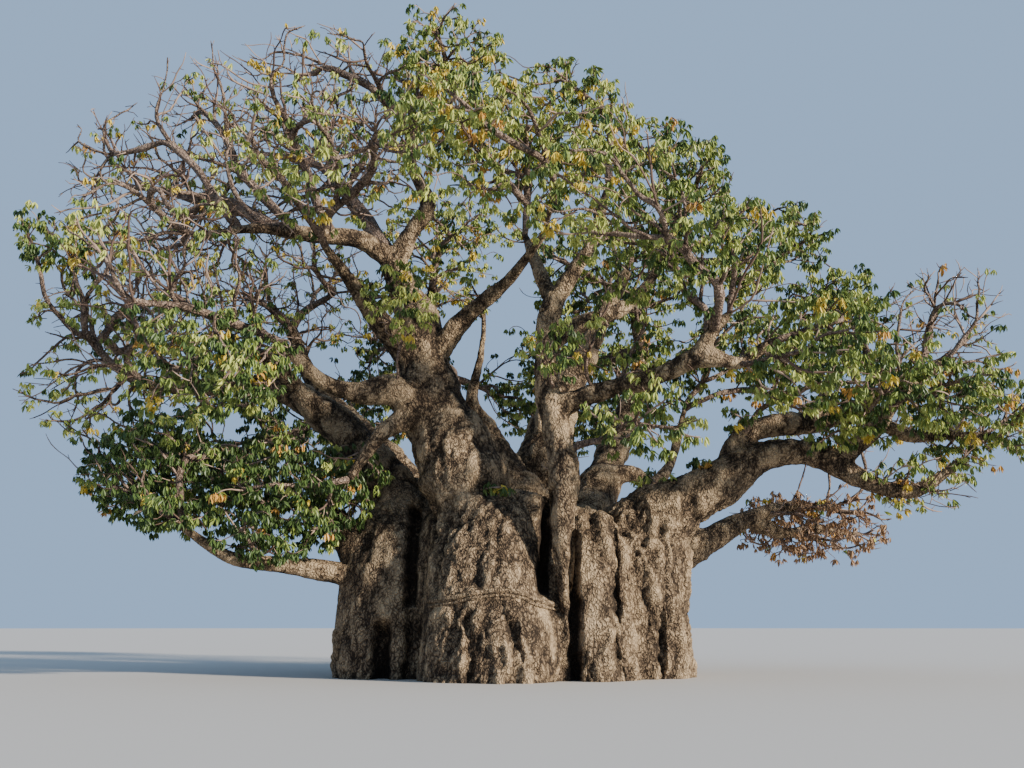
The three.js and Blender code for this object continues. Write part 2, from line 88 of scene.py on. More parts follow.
BOUGHS = {
    "neck": [(-0.55, -0.9, 2.1, 0.9), (-0.75, -0.95, 2.9, 0.74), (-0.95, -0.9, 3.6, 0.66),
             (-1.38, -0.7, 4.5, 0.56), (-1.52, -0.6, 5.4, 0.42), (-1.58, -0.5, 6.0, 0.38)],
    "neck_side": [(0.2, -0.5, 2.5, 0.62), (-0.12, -0.45, 3.2, 0.42), (-0.41, -0.4, 3.88, 0.29),
                  (-0.68, -0.4, 4.54, 0.13), (-0.54, -0.4, 5.37, 0.065), (-0.5, -0.45, 6.1, 0.045),
                  (-0.75, -0.5, 6.7, 0.03)],
    "upper_left": [(-1.57, -0.52, 5.9, 0.36), (-1.9, -0.55, 6.5, 0.27), (-2.1, -0.7, 7.05, 0.22)],
    "long_left": [(-2.05, -0.66, 6.95, 0.22), (-2.6, -1.0, 7.25, 0.17), (-3.3, -1.5, 7.15, 0.13),
                  (-4.1, -2.2, 7.0, 0.09), (-4.8, -2.8, 6.65, 0.06)],
    "crown": [(-2.05, -0.66, 6.95, 0.2), (-1.75, -0.8, 7.45, 0.16), (-1.45, -1.0, 7.9, 0.14),
              (-1.75, -1.2, 8.6, 0.1), (-1.75, -1.2, 9.4, 0.07)],
    "mid_left": [(-1.5, -0.62, 5.0, 0.32), (-2.2, -1.1, 5.75, 0.2), (-2.6, -1.6, 6.25, 0.13),
                 (-3.0, -2.1, 6.75, 0.08)],
    "centre": [(-1.45, -0.65, 5.1, 0.26), (-0.85, -0.85, 5.85, 0.17), (-0.4, -1.2, 6.15, 0.13),
               (0.0, -1.6, 6.4, 0.1), (0.55, -2.4, 6.9, 0.07)],
    "left_front": [(-1.1, -0.85, 3.8, 0.42), (-1.85, -1.3, 4.5, 0.26), (-2.55, -1.6, 4.45, 0.18),
                   (-3.05, -2.0, 4.6, 0.12), (-3.5, -2.5, 5.0, 0.07)],
    "drooping": [(-1.6, -1.15, 4.2, 0.24), (-1.88, -1.4, 3.96, 0.18), (-2.11, -1.7, 3.71, 0.13),
                 (-2.52, -1.9, 3.02, 0.07)],
    "left_great": [(-1.5, 0.0, 2.1, 0.62), (-1.95, 0.0, 2.85, 0.5), (-2.45, 0.0, 3.55, 0.4),
                   (-2.95, 0.1, 4.15, 0.33), (-3.75, 0.0, 4.75, 0.25)],
    "left_outer": [(-3.7, 0.0, 4.7, 0.22), (-4.6, -0.15, 4.95, 0.16), (-5.3, -0.4, 4.75, 0.12),
                   (-6.2, -0.5, 4.8, 0.08)],
    "pale_left": [(-3.6, 0.0, 4.65, 0.18), (-4.13, -0.6, 5.23, 0.13), (-4.47, -1.2, 5.13, 0.1),
                  (-5.01, -1.8, 4.48, 0.07)],
    "left_stub": [(-2.1, -0.5, 1.6, 0.45), (-2.63, -0.6, 2.1, 0.3), (-2.91, -0.4, 2.56, 0.17),
                  (-3.67, 0.2, 2.88, 0.09)],
    "low_left": [(-2.2, -0.7, 1.5, 0.24), (-2.9, -0.9, 1.65, 0.18), (-3.7, -1.2, 1.75, 0.13),
                 (-4.4, -1.6, 1.85, 0.1), (-5.2, -2.0, 2.4, 0.06)],
    "front_stem": [(0.8, -1.9, 1.05, 0.07), (0.79, -2.07, 1.6, 0.14), (0.77, -2.2, 2.5, 0.185),
                   (0.8, -2.2, 3.1, 0.22), (0.7, -2.05, 3.75, 0.25), (0.55, -1.9, 4.5, 0.2),
                   (0.56, -1.8, 5.4, 0.18), (0.7, -1.8, 6.0, 0.17)],
    "front_fork": [(0.68, -1.8, 5.9, 0.17), (1.0, -1.9, 6.4, 0.13), (1.3, -2.0, 6.9, 0.1),
                   (1.6, -1.9, 7.9, 0.07)],
    "front_fork_left": [(0.68, -1.8, 5.85, 0.16), (0.43, -1.4, 6.61, 0.11), (0.22, -1.0, 7.33, 0.07)],
    "right_mid": [(0.62, -1.95, 4.1, 0.2), (1.4, -2.2, 4.35, 0.16), (2.1, -2.6, 4.45, 0.15),
                  (2.8, -3.0, 4.7, 0.15), (3.35, -3.0, 4.6, 0.1), (3.8, -3.0, 4.9, 0.07)],
    "right_mid_up": [(2.7, -2.95, 4.62, 0.14), (2.9, -3.1, 4.97, 0.11), (3.21, -3.2, 5.3, 0.07)],
    "upper_right": [(0.57, -1.8, 5.2, 0.18), (1.2, -1.5, 5.65, 0.14), (1.8, -1.2, 5.95, 0.12),
                    (2.4, -1.0, 6.6, 0.09), (2.8, -0.9, 7.6, 0.06)],
    "rear_centre": [(0.35, 0.3, 2.4, 0.62), (0.45, 0.45, 3.4, 0.46), (0.75, 0.6, 4.4, 0.36),
                    (1.25, 0.8, 5.5, 0.26), (1.7, 1.0, 6.5, 0.18), (2.2, 1.2, 7.4, 0.12)],
    "great_right": [(1.6, -0.5, 1.7, 0.8), (2.15, -0.6, 2.35, 0.66), (2.8, -0.7, 2.75, 0.52),
                    (3.3, -0.7, 3.0, 0.44), (3.75, -0.7, 3.35, 0.35)],
    "great_right_upper": [(3.6, -0.68, 3.25, 0.28), (3.85, -0.6, 3.85, 0.24), (4.3, -0.5, 4.1, 0.21),
                          (5.2, -0.4, 4.2, 0.18), (6.1, -0.3, 4.55, 0.14), (7.0, -0.5, 5.1, 0.09)],
    "great_right_far": [(5.9, -0.3, 4.45, 0.15), (6.6, -0.6, 3.95, 0.12), (7.24, -0.9, 3.87, 0.09),
                        (7.93, -1.2, 3.8, 0.06)],
    "great_right_lower": [(3.65, -0.7, 3.27, 0.32), (4.2, -0.8, 3.55, 0.27), (4.95, -1.0, 3.55, 0.22),
                          (5.7, -1.3, 3.05, 0.17), (6.4, -1.4, 2.9, 0.12), (7.2, -1.4, 3.4, 0.07)],
    "great_right_side": [(5.3, -1.15, 3.4, 0.18), (5.9, -1.3, 3.95, 0.14), (6.3, -1.5, 4.5, 0.1),
                         (6.9, -1.7, 4.9, 0.07)],
    "rear_right_low": [(2.2, 0.4, 1.8, 0.45), (3.3, 0.9, 2.2, 0.28), (4.4, 1.5, 2.75, 0.17),
                       (5.3, 2.0, 3.0, 0.11), (6.1, 2.2, 3.0, 0.06)],
    "dry_low": [(4.3, 1.45, 2.7, 0.15), (5.1, 1.9, 2.5, 0.12), (5.8, 2.2, 2.6, 0.1), (6.7, 2.4, 2.5, 0.05)],
    "rear_left": [(-1.4, 0.9, 2.2, 0.6), (-2.3, 1.9, 3.7, 0.4), (-3.3, 2.8, 4.8, 0.27),
                  (-4.2, 3.4, 5.9, 0.19), (-4.7, 3.7, 7.0, 0.13)],
    "rear_right": [(1.25, 1.0, 2.2, 0.55), (1.7, 2.0, 3.5, 0.36), (2.2, 2.8, 4.7, 0.26),
                   (2.7, 3.3, 6.0, 0.18), (2.6, 3.5, 7.2, 0.12)],
    "rear_arch": [(1.6, 1.6, 3.1, 0.24), (1.9, 1.8, 3.55, 0.2), (2.3, 1.95, 3.62, 0.18),
                  (2.7, 2.4, 3.5, 0.15), (3.2, 3.2, 4.0, 0.11), (3.6, 3.7, 5.2, 0.07)],
    "rear_middle": [(-0.25, 1.3, 2.3, 0.52), (-0.85, 2.3, 4.1, 0.34), (-1.65, 3.1, 5.8, 0.22),
                    (-1.7, 3.6, 7.8, 0.12)],
}
LINE_STEP = 0.12
KNUCKLE_DEPTH = 0.09  # share of a bough's radius by which it swells and narrows
KNUCKLE_PITCH = 1.9  # swellings to a metre
KNUCKLE_SHIFT = 3.7  # sets the swellings of one bough apart from those of the next
FUSE_SIZE = 0.035  # grain of the mesh in which the bars are fused


def smooth_line(points, step):
    """Points at an even step along the smooth line through the given ones; a fourth value is its radius."""
    given = np.array([points[0], *points, points[-1]], float)
    line = []
    for a, b, c, d in zip(given, given[1:], given[2:], given[3:]):
        count = max(2, round(float(np.linalg.norm((c - b)[:3])) / step))
        for t in np.arange(count) / count:
            line.append(0.5 * (2 * b + (c - a) * t + (2 * a - 5 * b + 4 * c - d) * t ** 2
                               + (3 * b - a - 3 * c + d) * t ** 3))
    line.append(given[-1])
    return np.array(line)


def bars(name, lines, roundness=10):
    """A mesh of round bars along the given lines, each closed at its ends."""
    curve = bpy.data.curves.new(name, "CURVE")
    curve.dimensions = "3D"
    curve.bevel_depth = 1.0
    curve.bevel_resolution = roundness
    curve.use_fill_caps = True
    for line in lines:
        spline = curve.splines.new("POLY")
        spline.points.add(len(line) - 1)
        for point, (x, y, z, radius) in zip(spline.points, line):
            point.co = (x, y, z, 1)
            point.radius = radius
    holder = bpy.data.objects.new(name, curve)
    mesh = bpy.data.meshes.new_from_object(holder)
    bpy.data.objects.remove(holder)
    return mesh


def knuckled(line, turn):
    """The line with its radius swelling and narrowing along it, as an old bough does."""
    along = np.arange(len(line)) * LINE_STEP * KNUCKLE_PITCH
    swell = [noise.noise(Vector((a, turn * KNUCKLE_SHIFT, 0.5))) for a in along]
    line[:, 3] *= 1 + KNUCKLE_DEPTH * 2 * np.array(swell)
    return line


bough_lines = {name: knuckled(smooth_line(points, LINE_STEP), turn)
               for turn, (name, points) in enumerate(BOUGHS.items())}
column_lines = [smooth_line(points, LINE_STEP) for points in COLUMNS.values()]
bars_mesh = bars("wood_bars", [*column_lines, *bough_lines.values()])
wood = bpy.data.objects.new("wood", bars_mesh)
bpy.context.scene.collection.objects.link(wood)
fuse = wood.modifiers.new("fuse", "REMESH")
fuse.mode = "VOXEL"
fuse.voxel_size = FUSE_SIZE
melt = wood.modifiers.new("melt", "SMOOTH")
melt.factor = 0.6
melt.iterations = 6
depsgraph = bpy.context.evaluated_depsgraph_get()
wood_mesh = bpy.data.meshes.new_from_object(wood.evaluated_get(depsgraph))
bpy.data.objects.remove(wood)

# Folds and hollows of the trunk's open side: where each lies along X, between which heights, how wide it
# is to each side, and how deep it goes in.
FRONT_HOLLOWS = {
    "doorway": (-2.02, 0.0, 0.82, 0.13, 0.42),
    "deep_fold": (-1.6, 1.2, 2.7, 0.09, 0.32),
    "deep_fold_foot": (-1.6, 0.0, 1.2, 0.06, 0.14),
    "stem_recess": (0.5, 1.35, 2.8, 0.085, 0.34),
    "stem_cleft": (0.93, 0.0, 2.2, 0.08, 0.3),
    "right_crease": (1.62, 0.9, 2.5, 0.07, 0.15),
    "right_crease_foot": (1.58, 0.0, 0.9, 0.05, 0.08),
    "foot_crease_left": (-0.62, 0.0, 1.0, 0.06, 0.1),
    "foot_hollow": (0.02, 0.0, 0.9, 0.09, 0.12),
    "foot_crease_right": (2.35, 0.0, 1.1, 0.06, 0.12),
}
HOLLOW_SWAY = 0.1  # how far a hollow strays sideways in its long bends
HOLLOW_SHIVER = 0.04  # and in its short ones
HOLLOW_START = 0.2  # height over which a hollow sets in at its foot
HOLLOW_END = 0.12  # and half the height over which it ends
OPEN_SIDE = -0.6  # only bark that lies beyond this along Y, and lower than the next, has hollows
HOLLOWS_TOP = 3.0
FACES_OUT = -0.05  # and only where its normal's Y is below this
SCAR_LINE = [(-1.24, 1.16), (-0.87, 1.2), (-0.6, 1.26), (-0.3, 1.3), (0.0, 1.3), (0.18, 1.26),
             (0.34, 1.18), (0.66, 1.11)]  # X and Z of the old scar across the front column
SCAR_SIDE = -1.6  # only bark beyond this along Y is on the front column
SCAR_CALM = 0.16  # how far from the scar's line the folds are flattened, and by what share
SCAR_CALM_SHARE = 0.7
SCAR_GROOVE = (0.13, 0.06, 0.03)  # under the scar: how far down, half width and depth
# Folds of the bark from broad to fine: how many to a metre, how much of that upwards, how deep they are,
# how much painted shade darkens their creases and lightens their crests, and a number that sets each pattern
# apart.
TRUNK_FOLDS = [(1.25, 0.2, 0.13, 0.2, 0.0), (2.9, 0.3, 0.07, 0.3, 7.0), (6.5, 0.42, 0.042, 0.3, 14.0),
               (13.0, 0.6, 0.023, 0.2, 21.0)]
BOUGH_FOLDS = [(2.4, 0.5, 0.045, 0.4, 31.0), (5.5, 0.55, 0.028, 0.35, 36.0), (12.0, 0.7, 0.016, 0.25, 41.0)]
FOLD_SWAY = 0.5  # how far a fold sways to its sides
FOLD_SWELL = 2.2  # how fast a fold rises from its crease
FOLD_TOP = 1.3  # the height at which it is flat
FOLD_MIDDLE = 0.6  # the height at which the bark neither rises nor sinks
TRUNK_HEAD = (2.5, 3.4)  # between these heights the trunk's folds give way to those of the boughs
FULL_FOLDS = 0.45  # radius from which the folds reach their full depth
HOLLOW_SHADE = 1.5  # how much painted shade darkens a hollow for each metre of its depth


def eased(value, low, high):
    """0 below the first limit and 1 above the second, with a smooth rise between them."""
    t = min(1.0, max(0.0, (value - low) / (high - low)))
    return t * t * (3 - 2 * t)


def fold(x, y, z, pitch, drawn_out, pattern):
    """0 in a sharp crease and about 1 on a round fold; the folds are drawn out upwards."""
    sway = FOLD_SWAY * noise.noise((x * pitch * 0.6, y * pitch * 0.6, z * pitch * 0.6 + pattern))
    bent = (x * pitch + sway, y * pitch + sway, z * pitch * drawn_out + pattern)
    return min(FOLD_TOP, FOLD_SWELL * abs(noise.noise(bent)))


def hollow_depth(x, z):
    """How far the trunk's front is sunk in by its folds and hollows at one place."""
    deepest = 0.0
    for middle, low, high, half, depth in FRONT_HOLLOWS.values():
        middle += (HOLLOW_SWAY * noise.noise((middle, z * 1.3, 4.0))
                   + HOLLOW_SHIVER * noise.noise((middle, z * 4, 9.0)))
        across = math.exp(-(((x - middle) / half) ** 4))
        upright = eased(z, low - HOLLOW_START, low) * (1 - eased(z, high - HOLLOW_END, high + HOLLOW_END))
        deepest = max(deepest, depth * across * upright)
    return deepest


wood_lines = np.concatenate(list(bough_lines.values()) + column_lines)
wood_tree = kdtree.KDTree(len(wood_lines))
for order, point in enumerate(wood_lines):
    wood_tree.insert(point[:3], order)
wood_tree.balance()

corner_total = len(wood_mesh.vertices)
places = np.empty(corner_total * 3, np.float32)
normals = np.empty(corner_total * 3, np.float32)
wood_mesh.vertices.foreach_get("co", places)
wood_mesh.vertex_normals.foreach_get("vector", normals)
places = places.reshape(-1, 3).astype(float)
normals = normals.reshape(-1, 3).astype(float)
scar_x, scar_z = zip(*SCAR_LINE)
relief = np.zeros(corner_total)
for i, ((x, y, z), (nx, ny, nz)) in enumerate(zip(places, normals)):
    thick = min(1.0, wood_lines[wood_tree.find((x, y, z))[1]][3] / FULL_FOLDS)
    trunk_share = 1 - eased(z, *TRUNK_HEAD)
    rise = 0.0
    tone = 0.0
    if trunk_share > 0:
        for pitch, drawn_out, depth, fold_shade, pattern in TRUNK_FOLDS:
            height = fold(x, y, z, pitch, drawn_out, pattern) - FOLD_MIDDLE
            rise += trunk_share * depth * height * thick ** 2
            tone += trunk_share * fold_shade * height
    if trunk_share < 1:
        for pitch, drawn_out, depth, fold_shade, pattern in BOUGH_FOLDS:
            height = fold(x, y, z, pitch, drawn_out, pattern) - FOLD_MIDDLE
            rise += (1 - trunk_share) * thick * depth * height
            tone += (1 - trunk_share) * fold_shade * height
    sunk = 0.0
    if ny < FACES_OUT and y < OPEN_SIDE and z < HOLLOWS_TOP:
        sunk = hollow_depth(x, z) * min(1.0, -2 * ny)
        if scar_x[0] < x < scar_x[-1] and y < SCAR_SIDE:
            off = z - float(np.interp(x, scar_x, scar_z))
            below, half, depth = SCAR_GROOVE
            rise *= 1 - SCAR_CALM_SHARE * math.exp(-((off / SCAR_CALM) ** 2))
            rise -= depth * math.exp(-(((off + below) / half) ** 2))
    places[i] += (nx * rise, ny * rise + sunk, nz * rise)
    # painted shade: the colour darkens in the folds' creases and in the sunk hollows, and lightens on the
    # crests
    relief[i] = 0.5 + tone - HOLLOW_SHADE * sunk
wood_mesh.vertices.foreach_set("co", places.astype(np.float32).ravel())
painted_shade_and_tone_values = wood_mesh.attributes.new("relief", "FLOAT", "POINT")
painted_shade_and_tone_values.data.foreach_set("value", relief.astype(np.float32))
wood_mesh.polygons.foreach_set("use_smooth", np.ones(len(wood_mesh.polygons), bool))
wood_mesh.update()


def ramp(nodes, links, factor, stops):
    """A colour ramp with the given places and colours, read at the given output."""
    node = nodes.new("ShaderNodeValToRGB")
    elements = node.color_ramp.elements
    while len(elements) < len(stops):
        elements.new(0.5)
    for element, (place, colour) in zip(elements, stops):
        element.position = place
        element.color = (*colour, 1)
    links.new(factor, node.inputs["Fac"])
    return node.outputs["Color"]


def mottle(nodes, links, place, scale, detail=2, roughness=0.5):
    """A noise pattern with the given number of blots to a metre."""
    node = nodes.new("ShaderNodeTexNoise")
    node.inputs["Scale"].default_value = scale
    node.inputs["Detail"].default_value = detail
    node.inputs["Roughness"].default_value = roughness
    links.new(place, node.inputs["Vector"])
    return node


def added(nodes, links, first, second):
    """The sum of two outputs."""
    node = nodes.new("ShaderNodeMath")
    links.new(first, node.inputs[0])
    links.new(second, node.inputs[1])
    return node.outputs[0]


def bark_material(name, creases, faces, ridges, patch_tone):
    """Old bark: dark in its creases (painted shade in the trunk's folds and hollows), paler on its ridges,
    with broad patches of another tone and pits.
    """
    material = bpy.data.materials.new(name)
    material.use_nodes = True
    nodes, links = material.node_tree.nodes, material.node_tree.links
    shader = nodes["Principled BSDF"]
    shader.inputs["Roughness"].default_value = 0.92
    shader.inputs["Specular IOR Level"].default_value = 0.2
    place = nodes.new("ShaderNodeTexCoord").outputs["Object"]
    painted_shade_and_tone_node = nodes.new("ShaderNodeAttribute")
    painted_shade_and_tone_node.attribute_name = "relief"
    grain = mottle(nodes, links, place, 26, 6, 0.65)
    patches = mottle(nodes, links, place, 1.7, 5, 0.6)
    sway = mottle(nodes, links, place, 6)
    swayed = nodes.new("ShaderNodeVectorMath")
    swayed.operation = "MULTIPLY_ADD"
    links.new(sway.outputs["Color"], swayed.inputs[0])
    swayed.inputs[1].default_value = (0.22, 0.22, 0.22)
    links.new(place, swayed.inputs[2])
    drawn = nodes.new("ShaderNodeMapping")
    drawn.inputs["Scale"].default_value = (1, 1, 0.42)
    links.new(swayed.outputs[0], drawn.inputs["Vector"])
    cracks = nodes.new("ShaderNodeTexVoronoi")
    cracks.feature = "DISTANCE_TO_EDGE"
    cracks.inputs["Scale"].default_value = 19
    links.new(drawn.outputs[0], cracks.inputs["Vector"])
    wrinkle = nodes.new("ShaderNodeMapRange")
    wrinkle.interpolation_type = "SMOOTHSTEP"
    wrinkle.inputs["From Max"].default_value = 0.2
    links.new(cracks.outputs["Distance"], wrinkle.inputs["Value"])
    # on the trunk this attribute holds painted shade in the folds' creases and the hollows
    depth = painted_shade_and_tone_node.outputs["Fac"]
    layers = ((grain.outputs["Fac"], 0.9, -0.45), (wrinkle.outputs["Result"], 0.28, -0.2))
    for layer, weight, shift in layers:
        shifted = nodes.new("ShaderNodeMath")
        shifted.operation = "MULTIPLY_ADD"
        links.new(layer, shifted.inputs[0])
        shifted.inputs[1].default_value = weight
        shifted.inputs[2].default_value = shift
        depth = added(nodes, links, depth, shifted.outputs[0])
    crests = tuple(1.25 * share for share in ridges)
    tone = ramp(nodes, links, depth, [(0.05, creases), (0.32, faces), (0.62, ridges), (0.95, crests)])
    share = nodes.new("ShaderNodeMapRange")
    share.inputs["From Min"].default_value = 0.45
    share.inputs["From Max"].default_value = 0.7
    share.inputs["To Max"].default_value = 0.7
    links.new(patches.outputs["Fac"], share.inputs["Value"])
    mix = nodes.new("ShaderNodeMix")
    mix.data_type = "RGBA"
    mix.blend_type = "MULTIPLY"
    links.new(share.outputs["Result"], mix.inputs["Factor"])
    links.new(tone, mix.inputs["A"])
    mix.inputs["B"].default_value = (*patch_tone, 1)
    links.new(mix.outputs["Result"], shader.inputs["Base Color"])
    pits = nodes.new("ShaderNodeTexVoronoi")
    pits.inputs["Scale"].default_value = 34
    links.new(place, pits.inputs["Vector"])
    heights = added(nodes, links, grain.outputs["Fac"], pits.outputs["Distance"])
    surface = added(nodes, links, heights, wrinkle.outputs["Result"])
    bump = nodes.new("ShaderNodeBump")
    bump.inputs["Strength"].default_value = 0.8
    bump.inputs["Distance"].default_value = 0.03
    links.new(surface, bump.inputs["Height"])
    links.new(bump.outputs["Normal"], shader.inputs["Normal"])
    return material


bark = bark_material("bark", (0.034, 0.023, 0.015), (0.158, 0.111, 0.069), (0.38, 0.28, 0.172),
                     (0.66, 0.63, 0.61))

# The fused wood is cut across into two halves of the trunk and two of the boughs, each closed at its cuts.
HEAD_CUT = ((0, 0, 2.8), (0, 0, 1))
SIDE_CUT = ((0.12, 0, 0), (1, 0, 0))
BACK_CUT = ((0, 0.1, 0), (0, 1, 0))
GROUND_CUT = ((0, 0, 0), (0, 0, 1))


def finished_piece(name, mesh, material):
    """The mesh in its material as a piece that stands in the scene."""
    mesh.materials.append(material)
    piece = bpy.data.objects.new(name, mesh)
    bpy.context.scene.collection.objects.link(piece)
    return piece


def wood_piece(name, keep_above=(), keep_below=()):
    """The part of the fused wood that lies above and below the given cuts, as a piece of its own."""
    shape = bmesh.new()
    shape.from_mesh(wood_mesh)
    for cut, above in [*((cut, True) for cut in keep_above), *((cut, False) for cut in keep_below)]:
        geometry = [*shape.verts, *shape.edges, *shape.faces]
        made = bmesh.ops.bisect_plane(shape, geom=geometry, plane_co=cut[0], plane_no=cut[1],
                                      clear_outer=not above, clear_inner=above)
        rim = [element for element in made["geom_cut"] if isinstance(element, bmesh.types.BMEdge)]
        for face in bmesh.ops.edgeloop_fill(shape, edges=rim)["faces"]:
            face.smooth = False
        for edge in rim:
            edge.smooth = False
    mesh = bpy.data.meshes.new(name)
    shape.to_mesh(mesh)
    shape.free()
    return finished_piece(name, mesh, bark)


BOUGH_NODES = [row["node"] for row in frame["record"]["subparts"] if row["material_slot"] == "bough_bark"]
front_trunk_bark = wood_piece("front_trunk_bark", [GROUND_CUT], [HEAD_CUT, BACK_CUT])
rear_trunk_bark = wood_piece("rear_trunk_bark", [GROUND_CUT, BACK_CUT], [HEAD_CUT])
left_bough_bark = wood_piece("left_bough_bark", [HEAD_CUT], [SIDE_CUT])
right_bough_bark = wood_piece("right_bough_bark", [HEAD_CUT, SIDE_CUT])

# An old scar runs across the front column: two rounded welts of bark like ropes, grown onto its surface.
SCAR_WELTS = [(0.0, 0.041), (-0.07, 0.026)]  # how far above the scar's line, and radius
WELT_STEP = 0.04
WELT_LUMPS = 0.5  # how lumpy a welt is
LUMP_PITCH = 6  # lumps to a metre
WELT_TONE = 0.42
IN_FRONT = -6  # a place along Y that is clear of the trunk
face_shape = bmesh.new()
face_shape.from_mesh(front_trunk_bark.data)
face_skin = BVHTree.FromBMesh(face_shape)
face_shape.free()
welts = []
for rise, radius in SCAR_WELTS:
    welt = smooth_line([(x, 0, z + rise, radius) for x, z in SCAR_LINE], WELT_STEP)
    for point in welt:
        point[1] = face_skin.ray_cast(Vector((point[0], IN_FRONT, point[2])), Vector((0, 1, 0)))[0].y
        point[3] *= 1 + WELT_LUMPS * noise.noise(Vector((point[0] * LUMP_PITCH, rise * 50, 0)))
    welt[1:-1, 1] = 0.5 * welt[1:-1, 1] + 0.25 * (welt[:-2, 1] + welt[2:, 1])
    welts.append(welt)
scar_mesh = bars("scar_welts", welts, roundness=4)
scar_mesh.polygons.foreach_set("use_smooth", np.ones(len(scar_mesh.polygons), bool))
scar_tones = np.full(len(scar_mesh.vertices), WELT_TONE, np.float32)
scar_mesh.attributes.new("relief", "FLOAT", "POINT").data.foreach_set("value", scar_tones)
scar_welts = finished_piece("scar_welts", scar_mesh, bark)

for piece in (front_trunk_bark, rear_trunk_bark, scar_welts):
    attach(piece, "root")
    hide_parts("trunk")
for piece, side in ((left_bough_bark, -1), (right_bough_bark, 1)):
    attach(piece, "root")
    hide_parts(*(node for node in BOUGH_NODES if side * sum(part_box(node), Vector()).x > 0))


# The crown's framework: boughs, branches and stout crooked twigs that grow on from the ends of the limbs
# into each mass of leaves. They grow by rule, a step at a time towards the places that are still empty,
# first in long strides for the boughs and then in shorter ones, and thicken with all that they carry.
EYE = Vector((0.0, -18.75, 0.8))
SUNWARDS = Vector((0.8, -0.48, 0.3)).normalized()
SUNLIT_PLACE = Vector((-0.95, -1.45, 3.85))  # the neck, which the sun reaches through a gap in the leaves
SUNLIT_HALF = 0.75
SKY_PLANE = -1.0  # where along Y the openings below are measured
RAGGED_EDGE = 1.3  # how much the openings' edges wander in and out
RAGGED_PITCH = 2.6  # wanderings to a metre
STRAYS = 0.1  # share of growth that an opening lets through
SKY_OPENINGS = {  # openings through the crown from the open side: middle X and Z, half width and height
    "beside_neck": (-0.16, 6.48, 0.55, 0.8),
    "in_neck_fork": (-0.54, 4.06, 0.34, 0.44),
    "left_of_stem": (-0.03, 5.13, 0.32, 0.4),
    "under_right_mid": (3.31, 4.37, 0.58, 0.56),
    "right_high": (2.79, 5.72, 0.26, 0.26),
    "over_rear_arch": (2.13, 3.23, 0.9, 0.28),
    "over_long_left": (-2.46, 6.87, 0.28, 0.18),
    "left_middle": (-2.95, 5.08, 0.5, 0.3),
    "left_slit": (-3.57, 4.25, 0.17, 0.15),
    "left_low": (-4.61, 4.0, 0.42, 0.25),
    "between_great_right": (4.35, 3.73, 0.36, 0.06),
    "under_great_right": (4.52, 3.07, 0.9, 0.15),
    "far_low_right": (7.67, 2.8, 0.49, 0.55),
    "shoulder_notch": (6.4, 6.75, 0.26, 0.38),
}
# Boughs, branches and twigs: spacing of the places to fill, stride, how near a place counts as filled,
# stiffness, waywardness, cosine of a tip's sharpest turn, and how steeply growth may head down.
GROWTH = [
    {"spacing": 1.05, "stride": 0.24, "filled": 0.5, "stiff": 0.5, "wayward": 0.32,
     "turn": 0.66, "dip": -0.5},
    {"spacing": 0.52, "stride": 0.17, "filled": 0.27, "stiff": 0.45, "wayward": 0.38,
     "turn": 0.5, "dip": -0.65},
    {"spacing": 0.203, "stride": 0.1, "filled": 0.115, "stiff": 0.36, "wayward": 0.42,
     "turn": 0.2, "dip": -0.9},
]
OUTWARDS = 0.34  # how strongly growth leans away from the heart of the crown
STRAYING = 0.6  # how strongly waywardness turns a step
FORK_TURN = -0.35  # cosine of a side shoot's sharpest turn from its branch
SWERVE = 0.42  # cosine of how far a branch may swerve from the way it set out
CELL = 0.4  # share of a stride that each point of a branch keeps to itself
PATIENCE = 5  # steps after which a place that growth comes no nearer to is given up
CROWN_HEART = (0.0, 0.0, 3.5)
HOLLOW_MIDDLE = (0.3, 0.6, 5.6)  # the crown is emptier inside, where little light comes
HOLLOW_HALF = (5.6, 3.2, 3.6)
HOLLOW_KEPT = 0.25
ANTLER_SPACING = 0.85  # of the bare twigs that stand out of the crown
ANTLER_REACH = 1.16
SPROUT_RADIUS = 0.36  # growth sprouts where a limb is slimmer, and higher up, than this
SPROUT_HEIGHT = 2.2
SPROUT_START = 0.3  # and past this share of its length
SPROUT_SHARE = 0.92  # how thick growth may be, compared with the limb it sprouts from
TWIG_TIP = 0.0088  # radius of a twig's tip
PIPE_POWER = 2.4  # a branch's radius to this power is the sum of those that it carries
KNOB = 0.16  # share of a twig's thickness by which its joints vary
GROWTH_KINDS = {  # of a mass of leaves: how its twigs' spacing compares, and how far they reach past it
    "dense": (1.11, 1.0), "shady": (1.1, 1.0), "sunny": (1.15, 1.0), "thin": (1.18, 1.04),
    "bare": (1.13, 1.07), "dead": (0.7, 1.05), "deep": (1.0, 1.0),
}
REAR_SPACING = 1.12  # how the twigs' spacing compares in the masses at the back
